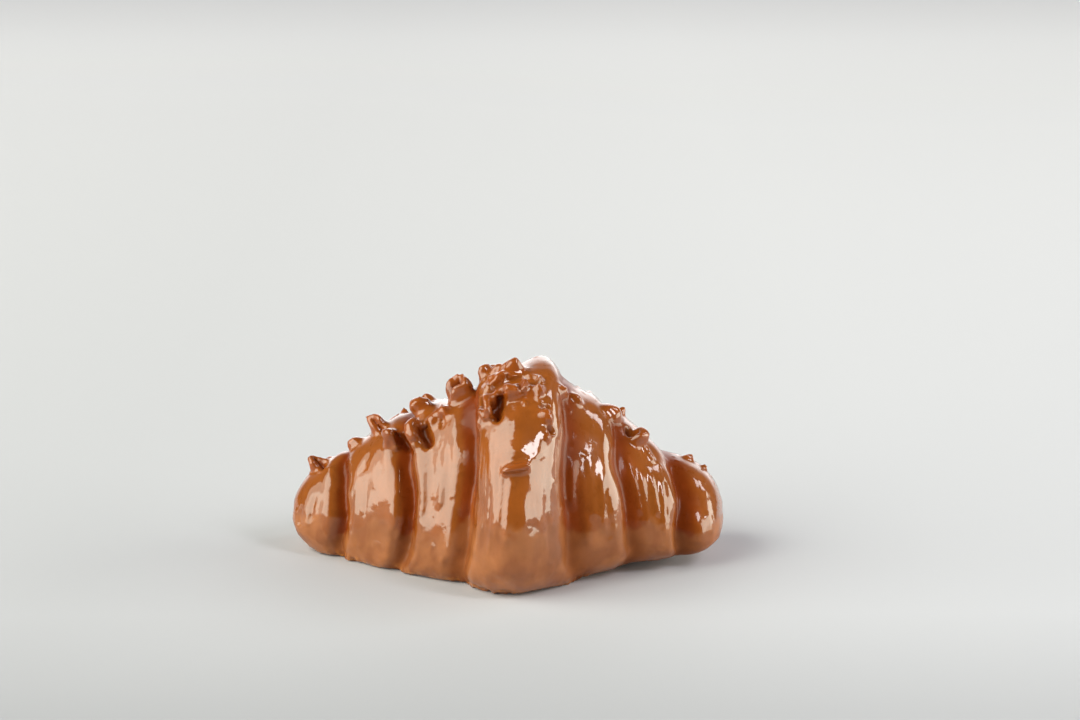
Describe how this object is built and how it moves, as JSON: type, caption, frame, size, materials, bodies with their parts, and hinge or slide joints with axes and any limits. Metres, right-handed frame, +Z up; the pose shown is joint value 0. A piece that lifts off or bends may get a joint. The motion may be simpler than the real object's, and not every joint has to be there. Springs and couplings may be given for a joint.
{
  "type": "chocolate-coated croissant",
  "caption": "Crescent pastry roll with stepped bands and two blunt horns, under a glossy milk-chocolate coat with chopped nut pieces along its ridge.",
  "frame": {"origin": "on the table, under the middle of the bounding box", "axes": "+X along the length, from the left horn to the right one as seen from the front; +Y from the rounded front to the back; +Z up"},
  "size_m": [0.1472, 0.0836, 0.0733],
  "materials": {
    "milk_chocolate": "glossy poured milk chocolate, satin and a little paler low down"
  },
  "bodies": {
    "root": {"croissant": "milk_chocolate"}
  },
  "joints": []
}
